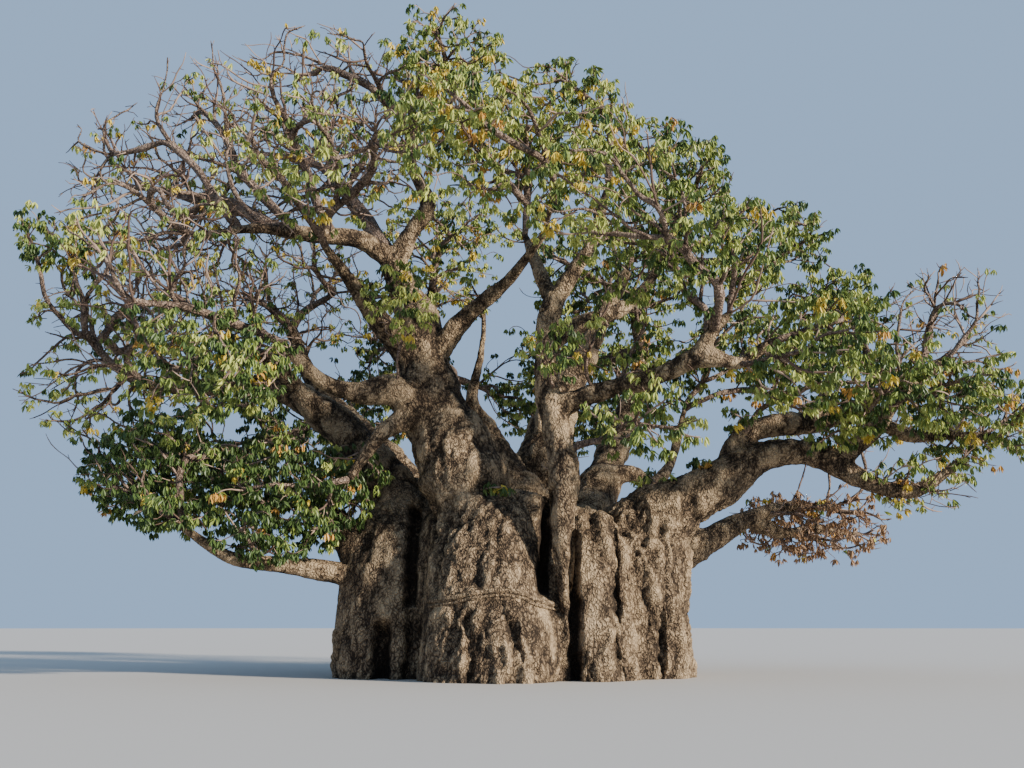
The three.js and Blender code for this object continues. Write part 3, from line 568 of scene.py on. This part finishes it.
SPRAYS = {  # small leafy sprays on the limbs, apart from the masses: middle, half sizes and kind
    "beside_front_low": ((2.6, -3.0, 3.67), (0.3, 0.4, 0.3), "sunny"),
    "over_great_right": ((3.68, -1.0, 4.12), (0.35, 0.45, 0.26), "dense"),
    "over_right_lobe": ((2.28, -0.5, 3.1), (0.42, 0.5, 0.28), "dense"),
    "on_great_right": ((2.97, -0.6, 3.45), (0.35, 0.45, 0.2), "dense"),
    "before_great_right": ((5.13, -1.6, 3.81), (0.8, 0.45, 0.34), "dense"),
    "under_far_right": ((6.5, -1.4, 3.05), (1.05, 0.75, 0.55), "thin"),
    "before_far_right": ((6.7, -2.5, 4.3), (0.8, 0.6, 0.55), "dense"),
    "before_right_low": ((5.3, -2.2, 4.15), (0.8, 0.6, 0.4), "dense"),
    "before_stem": ((0.68, -3.4, 4.7), (0.7, 0.35, 0.5), "dense"),
    "before_stem_right": ((1.85, -1.9, 4.75), (0.75, 0.4, 0.45), "dense"),
    "before_left_great": ((-2.56, -1.0, 3.12), (0.6, 0.5, 0.75), "deep"),
    "before_low_left": ((-3.7, -1.9, 2.05), (0.9, 0.4, 0.35), "deep"),
    "on_low_left_end": ((-5.2, -2.2, 2.5), (0.7, 0.5, 0.3), "deep"),
    "over_right_outer": ((5.1, -0.5, 6.35), (0.65, 0.6, 0.4), "dense"),
    "before_neck_fork": ((-1.78, -2.0, 5.87), (0.72, 0.5, 0.75), "sunny"),
    "on_neck_side": ((-0.66, -0.5, 6.35), (0.3, 0.3, 0.45), "thin"),
    "behind_left_great": ((-3.05, 1.2, 3.32), (0.7, 0.8, 0.85), "shady"),
    "by_shoulder": ((-0.2, -1.55, 3.0), (0.28, 0.3, 0.2), "shady"),
}
SPRAY_FOOT = 0.06  # radius of the stoutest shoot that carries one
SPRAY_FULLNESS = 9  # how closely a spray's space is filled
MASS_KINDS = {  # how each mass of leaves grows and bears
    "far_left_tip": "dense", "upper_left_outer": "bare", "upper_left": "bare", "top_left": "bare",
    "top": "sunny", "top_right": "sunny", "upper_right": "dense", "right_shoulder": "dense",
    "right_outer": "dense", "far_right_top": "bare", "far_right": "sunny", "dry_low_right": "dead",
    "left_mid_outer": "thin", "left_low_outer": "thin", "left_low": "deep", "left_low_inner": "deep",
    "front_left_upper": "bare", "front_left_mid": "shady", "front_top_left": "thin",
    "front_top": "sunny", "front_top_right": "sunny", "front_right_upper": "dense",
    "front_right_mid": "dense", "front_right_low": "dense", "right_mid": "dense", "right_low": "dense",
    "rear_left_top": "bare", "rear_top": "sunny", "rear_right_top": "dense", "rear_right": "dense",
    "rear_far_right": "thin", "rear_left": "thin", "rear_left_low": "deep", "rear_deep_left": "shady",
    "rear_deep_right": "dense",
}
SCATTER = 0.48  # how far a place to fill strays from an even grid, in spacings
TINY = 1e-9
dice = np.random.default_rng(seed=7)
MASS_NODES = [row["node"] for row in frame["record"]["subparts"] if row["node"].endswith("_leaves")]


def mass_points(node, spacing, stretch=1.0):
    """Scattered points about evenly spaced through one mass of leaves, and a little past it."""
    closeness, reach = GROWTH_KINDS[MASS_KINDS[node.removesuffix("_leaves")]]
    spacing *= closeness * (REAR_SPACING if node.startswith("rear") else 1)
    reach *= stretch
    mesh = frame["nodes"][node].data
    corners = np.array([vertex.co for vertex in mesh.vertices])
    corners = corners.mean(0) + reach * (corners - corners.mean(0))
    skin = BVHTree.FromPolygons([tuple(c) for c in corners], [tuple(f.vertices) for f in mesh.polygons])
    low, high = corners.min(0), corners.max(0)
    middle = Vector((low + high) / 2)
    steps = [np.arange(a + spacing / 2, b, spacing) for a, b in zip(low, high)]
    grid = np.stack(np.meshgrid(*steps, indexing="ij"), -1).reshape(-1, 3)
    grid += dice.uniform(-SCATTER, SCATTER, grid.shape) * spacing
    kept = []
    for point in grid:
        towards = Vector(point) - middle
        hit = skin.ray_cast(middle, towards)
        if hit[0] is not None and hit[3] > towards.length:
            kept.append(point)
    return kept


def in_sky(points):
    """Which points lie in line with an opening, seen from the open side, or in the sun's way to the neck."""
    share = (SKY_PLANE - EYE.y) / (points[:, 1] - EYE.y)
    x = points[:, 0] * share
    z = EYE.z + (points[:, 2] - EYE.z) * share
    ragged = np.array([noise.noise((a * RAGGED_PITCH, b * RAGGED_PITCH, 3.0)) for a, b in zip(x, z)])
    edge = 1 + RAGGED_EDGE * ragged
    found = np.zeros(len(points), bool)
    for middle_x, middle_z, half_x, half_z in SKY_OPENINGS.values():
        found |= ((x - middle_x) / half_x) ** 2 + ((z - middle_z) / half_z) ** 2 < edge
    along = (points - SUNLIT_PLACE) @ np.array(SUNWARDS)
    off = np.linalg.norm(points - SUNLIT_PLACE - along[:, None] * SUNWARDS, axis=1)
    found |= (along > 0) & (off < SUNLIT_HALF * (1 + ragged))
    return found & (dice.random(len(points)) > STRAYS)


def spray_points(middle, half, spacing):
    """Scattered points through one small spray's round space."""
    count = max(3, round(SPRAY_FULLNESS * math.prod(half) / spacing ** 3))
    around = dice.normal(size=(count, 3))
    around *= dice.random((count, 1)) ** (1 / 3) / np.linalg.norm(around, axis=1)[:, None]
    return middle + around * half


def nearest_of(points, others):
    """For each point, the nearest of the others and how far off it is."""
    index = np.empty(len(points), int)
    gap = np.empty(len(points))
    batch = 1500  # as many at a time as fit in memory
    for start in range(0, len(points), batch):
        part = points[start:start + batch]
        square = (part ** 2).sum(1)[:, None] + (others ** 2).sum(1)[None, :] - 2 * part @ others.T
        best = square.argmin(1)
        index[start:start + batch] = best
        gap[start:start + batch] = np.sqrt(np.maximum(square[np.arange(len(part)), best], 0))
    return index, gap


def grow(tree, targets, spacing, stride, filled, stiff, wayward, turn, dip, rounds=90):
    """Grows the tree towards the targets: each pulls the nearest node, which puts out the next one."""
    taken = {tuple(cell) for cell in np.floor(tree["place"] / (CELL * stride)).astype(int)}
    near, gap = nearest_of(targets, tree["place"])
    idle = np.zeros(len(targets), int)
    for _ in range(rounds):
        left = (gap > filled) & (idle < PATIENCE)
        targets, near, gap, idle = targets[left], near[left], gap[left], idle[left]
        if not len(targets):
            break
        pull = targets - tree["place"][near]
        pull /= np.linalg.norm(pull, axis=1)[:, None]
        total = np.zeros((len(tree["place"]), 3))
        np.add.at(total, near, pull)
        pulled = np.unique(near)
        heading = total[pulled]
        heading /= np.linalg.norm(heading, axis=1)[:, None] + TINY
        straightness = (heading * tree["heading"][pulled]).sum(1)
        kept_course = (heading * tree["set_out"][pulled]).sum(1)
        forks = tree["bears"][pulled]
        able = (straightness > np.where(forks, FORK_TURN, turn)) & (forks | (kept_course > SWERVE))
        able &= heading[:, 2] > dip
        pulled, heading, forks = pulled[able], heading[able], forks[able]
        heading = (1 - stiff) * heading + stiff * tree["heading"][pulled]
        outwards = tree["place"][pulled] - CROWN_HEART
        heading += OUTWARDS * outwards / np.linalg.norm(outwards, axis=1)[:, None]
        heading += STRAYING * wayward * dice.normal(size=heading.shape)
        heading /= np.linalg.norm(heading, axis=1)[:, None] + TINY
        made = tree["place"][pulled] + stride * heading
        cells = [tuple(cell) for cell in np.floor(made / (CELL * stride)).astype(int)]
        free = np.array([cell not in taken for cell in cells])
        taken.update(cells)
        idle += 1
        if not free.any():
            continue
        first = len(tree["place"])
        tree["bears"][pulled[free]] = True
        tree["bears"] = np.concatenate([tree["bears"], np.zeros(int(free.sum()), bool)])
        tree["place"] = np.concatenate([tree["place"], made[free]])
        tree["heading"] = np.concatenate([tree["heading"], heading[free]])
        set_out = np.where(forks[:, None], heading, tree["set_out"][pulled])
        tree["set_out"] = np.concatenate([tree["set_out"], set_out[free]])
        tree["parent"] = np.concatenate([tree["parent"], pulled[free]])
        new_near, new_gap = nearest_of(targets, made[free])
        nearer_by = 1e-4
        closer = new_gap < gap - nearer_by
        near[closer] = new_near[closer] + first
        gap[closer] = new_gap[closer]
        idle[closer] = 0


seeds, seed_headings, seed_limits = [], [], []
for line in bough_lines.values():
    ahead = np.diff(line[:, :3], axis=0, append=2 * line[-1:, :3] - line[-2:-1, :3])
    ahead /= np.linalg.norm(ahead, axis=1)[:, None] + TINY
    sprouts = (line[:, 3] < SPROUT_RADIUS) & (line[:, 2] > SPROUT_HEIGHT)
    sprouts &= np.arange(len(line)) > SPROUT_START * len(line)
    seeds.append(line[sprouts, :3])
    seed_headings.append(ahead[sprouts])
    seed_limits.append(line[sprouts, 3])
limb_points = np.concatenate(list(bough_lines.values()))[:, :3]
for middle, _, _ in SPRAYS.values():
    foot = limb_points[np.linalg.norm(limb_points - middle, axis=1).argmin()]
    seeds.append(foot[None])
    seed_headings.append((middle - foot)[None] / np.linalg.norm(middle - foot))
    seed_limits.append(np.array([SPRAY_FOOT]))
limits = np.concatenate(seed_limits)
SEED_COUNT = len(limits)
tree = {"place": np.concatenate(seeds), "heading": np.concatenate(seed_headings),
        "set_out": np.concatenate(seed_headings), "parent": np.full(SEED_COUNT, -1),
        "bears": np.ones(SEED_COUNT, bool)}
for stage in GROWTH:
    targets = np.array([point for node in MASS_NODES for point in mass_points(node, stage["spacing"])])
    if stage is GROWTH[-1]:
        inside = (((targets - HOLLOW_MIDDLE) / HOLLOW_HALF) ** 2).sum(1) < 1
        targets = targets[~inside | (dice.random(len(targets)) < HOLLOW_KEPT)]
        antlers = [mass_points(node, ANTLER_SPACING, ANTLER_REACH) for node in MASS_NODES]
        targets = np.concatenate([targets, *antlers])
    targets = targets[~in_sky(targets)]
    sprigs = [spray_points(middle, half, stage["spacing"]) for middle, half, _ in SPRAYS.values()]
    targets = np.concatenate([targets, *sprigs])
    grow(tree, targets, **stage)

place, parent = tree["place"], tree["parent"]
node_count = len(place)
carried = np.zeros(node_count)
children = np.bincount(parent[SEED_COUNT:], minlength=node_count)
carried[children == 0] = TWIG_TIP ** PIPE_POWER
for node in range(node_count - 1, SEED_COUNT - 1, -1):
    carried[parent[node]] += carried[node]
thickness = carried ** (1 / PIPE_POWER)
main_child = np.full(node_count, -1)
for node in range(SEED_COUNT, node_count):
    source = parent[node]
    limit = SPROUT_SHARE * limits[source] if source < SEED_COUNT else thickness[source]
    thickness[node] = min(thickness[node], limit)
    best = main_child[source]
    if best < 0 or thickness[node] > thickness[best]:
        main_child[source] = node
main_child[:SEED_COUNT] = -1

# Each branch is a tapering bar from the place it grew from, through its stoutest children, to a tip. Its
# bends are smoothed when it is drawn, so a side branch or a leaf may start a little off its parent's bark.
follows = np.zeros(node_count, bool)
follows[main_child[main_child >= 0]] = True
starts = [node for node in range(SEED_COUNT, node_count) if not follows[node]]
BAR_SIDES = [(0.016, 3), (0.035, 4), (0.07, 6), (math.inf, 9)]  # sides of a bar slimmer than each radius
POINTED = 0.6  # share of a tip's radius that is left at its end
ASKEW = (0.31, 0.17, 0.94)  # a direction that no bar runs along


def branch_mesh(name, chosen):
    """Joined bars with 3 to 9 sides for the branches that start at the chosen nodes."""
    corners, faces = [], []
    total = 0
    for start in chosen:
        chain = [start]
        while main_child[chain[-1]] >= 0:
            chain.append(main_child[chain[-1]])
        line = np.vstack([place[parent[start]], place[chain]])
        radii = np.concatenate([[thickness[start]], thickness[chain]])
        radii *= 1 + KNOB * dice.uniform(-1, 1, len(radii))
        radii[-1] *= POINTED
        sides = next(sides for radius, sides in BAR_SIDES if radii[0] < radius)
        if len(line) > 3:
            line[1:-1] = 0.5 * line[1:-1] + 0.25 * (line[:-2] + line[2:])
        ahead = np.gradient(line, axis=0)
        ahead /= np.linalg.norm(ahead, axis=1)[:, None] + TINY
        across = np.cross(ahead, ASKEW)
        across /= np.linalg.norm(across, axis=1)[:, None] + TINY
        beside = np.cross(ahead, across)
        turn = np.arange(sides) * 2 * math.pi / sides
        ring = (np.cos(turn)[None, :, None] * across[:, None, :]
                + np.sin(turn)[None, :, None] * beside[:, None, :])
        corners.append((line[:, None, :] + radii[:, None, None] * ring).reshape(-1, 3))
        for row in range(len(line) - 1):
            low = total + row * sides
            for side in range(sides):
                after = (side + 1) % sides
                faces.append((low + side, low + after, low + sides + after, low + sides + side))
        faces.append(tuple(range(total + sides - 1, total - 1, -1)))
        last = total + (len(line) - 1) * sides
        faces.append(tuple(range(last, last + sides)))
        total += len(line) * sides
    mesh = bpy.data.meshes.new(name)
    mesh.from_pydata(np.concatenate(corners).tolist(), [], faces)
    mesh.polygons.foreach_set("use_smooth", np.ones(len(mesh.polygons), bool))
    return mesh


def plain_material(name, colour, roughness, specular):
    """One plain colour, for small things that are coloured by the piece."""
    material = bpy.data.materials.new(name)
    material.use_nodes = True
    shader = material.node_tree.nodes["Principled BSDF"]
    shader.inputs["Base Color"].default_value = (*colour, 1)
    shader.inputs["Roughness"].default_value = roughness
    shader.inputs["Specular IOR Level"].default_value = specular
    return material


STOUT = 0.024  # a branch with a thicker root has bark that shows; the rest take by turns a pale tone of painted sunlight and a brown one of painted shade
stout = [node for node in starts if thickness[node] > STOUT]
slim = [node for node in starts if thickness[node] <= STOUT]
young_bark = bark_material("young_bark", (0.045, 0.03, 0.023), (0.145, 0.102, 0.078),
                           (0.31, 0.225, 0.17), (0.7, 0.7, 0.7))
# the pale twig tone is painted sunlight on twig bark, the brown one is twig bark in painted shade
pale_twig = plain_material("pale_twig", (0.33, 0.235, 0.18), 0.85, 0.2)
brown_twig = plain_material("brown_twig", (0.13, 0.085, 0.065), 0.85, 0.2)
for name, chosen, finish in (("crown_boughs", stout, young_bark), ("pale_twigs", slim[::2], pale_twig),
                             ("brown_twigs", slim[1::2], brown_twig)):
    mesh = branch_mesh(name, chosen)
    if finish is young_bark:
        tones = [0.5 + 0.4 * noise.noise(corner.co * 7) for corner in mesh.vertices]
        mesh.attributes.new("relief", "FLOAT", "POINT").data.foreach_set("value", tones)
    piece = finished_piece(name, mesh, finish)
    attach(piece, "root")
    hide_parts(*MASS_NODES)


# The leaves: each is a hand of five drooping leaflets on a short stalk, in loose sprays at the twigs' ends.
# Most are green: a painted shade green in shady masses, a mid green, and a painted sunlit green in sunny
# ones, some turning yellow and orange, and brown dead ones on the low limb behind. Each spray is of one
# tone, and the leaves of a tone are joined.
LEAFLETS = 5
LEAFLET_LENGTH = 0.128
LEAFLET_WIDTH = 0.048
LEAFLET_SIDES = ((0.4, 0.85), (0.75, 0.8))  # share of its length, and share of its width there
SHORTER = 0.08  # by how much a leaflet is shorter than the one nearer the middle
TIP_SAG = 0.15  # share of its length by which its tip hangs
FOLD = 0.3  # share of half a leaflet's width by which its sides fold up
STALK_LENGTH = 0.07
STALK_HALF = 0.005  # half width of the stalk's foot
STALK_SLOPE = 0.3
LEAF_SHAPES = 9
LEAF_SIZES = (0.8, 1.2)
LEAF_TURN = 2.4  # from one leaf of a spray to the next, round the twig
LEAF_SWAY = 0.3  # how far leaves hang askew
AT_THE_TIP = 3  # leaves of a spray that sit on the twig's tip; the rest sit one joint back
MASS_REACH = 1.3  # how far out a twig still counts as in a mass of leaves
TONES = {
    # the dark green is painted shade and the light green painted sunlight, on leaves of one kind
    "shade_dark_green": (0.064, 0.105, 0.026),
    "mid_green": (0.19, 0.245, 0.055),
    "sunlit_light_green": (0.41, 0.45, 0.115),
    "yellow": (0.62, 0.47, 0.07),
    "orange": (0.55, 0.31, 0.07),
    "dead_brown": (0.34, 0.21, 0.115),
}
FOLIAGE = {  # share of twigs in leaf and how much of it is lost outwards, leaves to a spray, shares of tones
    # the deep and shady kinds hold most of the painted shade green, the sunny kind most of the painted
    # sunlit green
    "dense": (0.84, 0.0, 3.9, (0.3, 0.41, 0.26, 0.022, 0.008, 0)),
    "shady": (0.75, 0.0, 3.8, (0.52, 0.34, 0.09, 0.035, 0.015, 0)),
    "deep": (0.95, 0.0, 4.2, (0.8, 0.15, 0.02, 0.015, 0.015, 0)),
    "sunny": (0.82, 0.3, 3.8, (0.1, 0.35, 0.42, 0.11, 0.02, 0)),
    "thin": (0.42, 0.4, 3.0, (0.13, 0.41, 0.34, 0.1, 0.02, 0)),
    "bare": (0.16, 0.2, 2.5, (0.08, 0.35, 0.35, 0.18, 0.04, 0)),
    "dead": (0.5, 0.3, 2.4, (0, 0.02, 0.03, 0.04, 0.06, 0.85)),
}


def leaf_shape():
    """Corners and faces of one leaf: a stalk and five folded leaflets that hang round its end."""
    droop = dice.uniform(1.0, 1.4)
    slope = np.array([math.cos(STALK_SLOPE), 0, math.sin(STALK_SLOPE) * dice.uniform(-1, 0.6)])
    joint = slope * STALK_LENGTH
    corners = [(0, STALK_HALF, 0), (0, -STALK_HALF, 0), tuple(joint)]
    faces = [(0, 1, 2)]
    for rank in range(LEAFLETS):
        swing = 2 * math.pi / LEAFLETS * rank + dice.normal() * 0.2
        dip = droop + dice.normal() * 0.15
        length = LEAFLET_LENGTH * (1 - SHORTER * abs(rank - LEAFLETS // 2)) * dice.uniform(0.85, 1.1)
        ahead = np.array([math.cos(swing) * math.cos(dip), math.sin(swing) * math.cos(dip), -math.sin(dip)])
        aside = np.array([-math.sin(swing), math.cos(swing), dice.normal() * 0.25])
        out = np.cross(ahead, aside)
        half = LEAFLET_WIDTH * length / LEAFLET_LENGTH / 2
        first = len(corners)
        corners.append(tuple(joint))
        for share, width in LEAFLET_SIDES:
            rib = joint + share * length * ahead + out * FOLD * half
            corners += [tuple(rib + aside * half * width), tuple(rib - aside * half * width)]
        corners.append(tuple(joint + length * ahead + np.array([0, 0, -TIP_SAG * length])))
        faces += [(first, first + 1, first + 3), (first, first + 3, first + 5),
                  (first, first + 5, first + 4), (first, first + 4, first + 2)]
    return np.array(corners), np.array(faces)


shapes = [leaf_shape() for _ in range(LEAF_SHAPES)]
corner_count, leaf_faces = len(shapes[0][0]), shapes[0][1]
shapes = np.array([corners for corners, _ in shapes])

boxes = [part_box(node) for node in MASS_NODES]
leafy_kinds = [MASS_KINDS[node.removesuffix("_leaves")] for node in MASS_NODES]
leafy_kinds += [kind for _, _, kind in SPRAYS.values()]
leafy_middles = np.array([*((low + high) / 2 for low, high in boxes),
                          *(Vector(middle) for middle, _, _ in SPRAYS.values())])
leafy_halves = np.array([*((high - low) / 2 for low, high in boxes),
                         *(Vector(half) for _, half, _ in SPRAYS.values())])
ends = np.flatnonzero((children == 0) & (np.arange(node_count) >= SEED_COUNT))
sprays = {tone: [] for tone in TONES}
for end in ends:
    off = (((place[end] - leafy_middles) / leafy_halves) ** 2).sum(1)
    nearest = int(off.argmin())
    in_leaf, lost, per_spray, shares = FOLIAGE[leafy_kinds[nearest]]
    in_leaf *= 1 - lost * min(1.0, off[nearest])
    if off[nearest] > MASS_REACH or dice.random() > in_leaf:
        continue
    tone = list(TONES)[dice.choice(len(shares), p=shares)]
    leaves = max(1, int(round(dice.normal(per_spray, 0.9))))
    start = dice.uniform(0, 2 * math.pi)
    for rank in range(leaves):
        node = end
        if rank >= AT_THE_TIP and parent[end] >= SEED_COUNT:
            node = parent[end]
        yaw = start + rank * LEAF_TURN + dice.normal() * LEAF_SWAY
        roll = dice.normal() * LEAF_SWAY
        pitch = dice.normal() * LEAF_SWAY
        size = dice.uniform(*LEAF_SIZES)
        sprays[tone].append((*place[node], yaw, roll, pitch, size, dice.integers(LEAF_SHAPES)))


def leaf_mesh(name, rows):
    """The given leaves, joined: each row is a place, three turns, a size and a shape."""
    rows = np.array(rows)
    x, y, z, yaw, roll, pitch, size, kind = rows.T
    one, none = np.ones(len(rows)), np.zeros(len(rows))
    round_z = np.array([[np.cos(yaw), -np.sin(yaw), none], [np.sin(yaw), np.cos(yaw), none],
                        [none, none, one]]).transpose(2, 0, 1)
    round_x = np.array([[one, none, none], [none, np.cos(roll), -np.sin(roll)],
                        [none, np.sin(roll), np.cos(roll)]]).transpose(2, 0, 1)
    round_y = np.array([[np.cos(pitch), none, np.sin(pitch)], [none, one, none],
                        [-np.sin(pitch), none, np.cos(pitch)]]).transpose(2, 0, 1)
    turned = np.einsum("nij,nkj->nki", round_z @ round_x @ round_y, shapes[kind.astype(int)])
    corners = turned * size[:, None, None] + rows[:, None, :3]
    faces = leaf_faces[None] + (np.arange(len(rows)) * corner_count)[:, None, None]
    mesh = bpy.data.meshes.new(name)
    mesh.from_pydata(corners.reshape(-1, 3).tolist(), [], faces.reshape(-1, 3).tolist())
    return mesh


LEAVES_TO_A_PIECE = 9000
for tone, colour in TONES.items():
    leaf_finish = plain_material(tone + "_leaf", colour, 0.46, 0.32)
    rows = sprays[tone]
    for share, first in enumerate(range(0, len(rows), LEAVES_TO_A_PIECE)):
        name = f"{tone}_leaves_{share + 1}"
        piece = finished_piece(name, leaf_mesh(name, rows[first:first + LEAVES_TO_A_PIECE]), leaf_finish)
        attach(piece, "root")
        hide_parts(*MASS_NODES)


# The stage: a plain pale floor, a low warm sun from the front right, and pale light from all round.
FLOOR_RADIUS = 400.0
FLOOR_SIDES = 64
floor_shape = bmesh.new()
bmesh.ops.create_circle(floor_shape, cap_ends=True, radius=FLOOR_RADIUS, segments=FLOOR_SIDES)
floor_mesh = bpy.data.meshes.new("floor")
floor_shape.to_mesh(floor_mesh)
floor_shape.free()
floor = finished_piece("floor", floor_mesh, plain_material("pale_floor", (0.52, 0.49, 0.45), 0.9, 0.2))

sun_data = bpy.data.lights.new("sun", "SUN")
sun_data.energy = 9.0
sun_data.angle = math.radians(4)
sun_data.color = (1.0, 0.92, 0.8)
sun = bpy.data.objects.new("sun", sun_data)
sun.rotation_mode = "QUATERNION"
sun.rotation_quaternion = SUNWARDS.to_track_quat("Z", "Y")
bpy.context.scene.collection.objects.link(sun)

world = bpy.data.worlds.new("pale_sky")
world.use_nodes = True
sky = world.node_tree.nodes["Background"]
sky.inputs["Color"].default_value = (0.44, 0.65, 0.98, 1)
sky.inputs["Strength"].default_value = 0.8
bpy.context.scene.world = world

# The camera stands at the photograph's viewing angle: low down in front of the tree, tilted up.
PICTURE_WIDTH = 1024
MIDDLE_ROW = 384
HORIZON_ROW = 626
FOCAL_LENGTH = 1095  # in pixels, as all of these
camera_data = bpy.data.cameras.new("camera")
camera_data.lens = camera_data.sensor_width * FOCAL_LENGTH / PICTURE_WIDTH
camera = bpy.data.objects.new("camera", camera_data)
camera.location = EYE
camera.rotation_euler = (math.pi / 2 + math.atan2(HORIZON_ROW - MIDDLE_ROW, FOCAL_LENGTH), 0, 0)
bpy.context.scene.collection.objects.link(camera)
bpy.context.scene.camera = camera
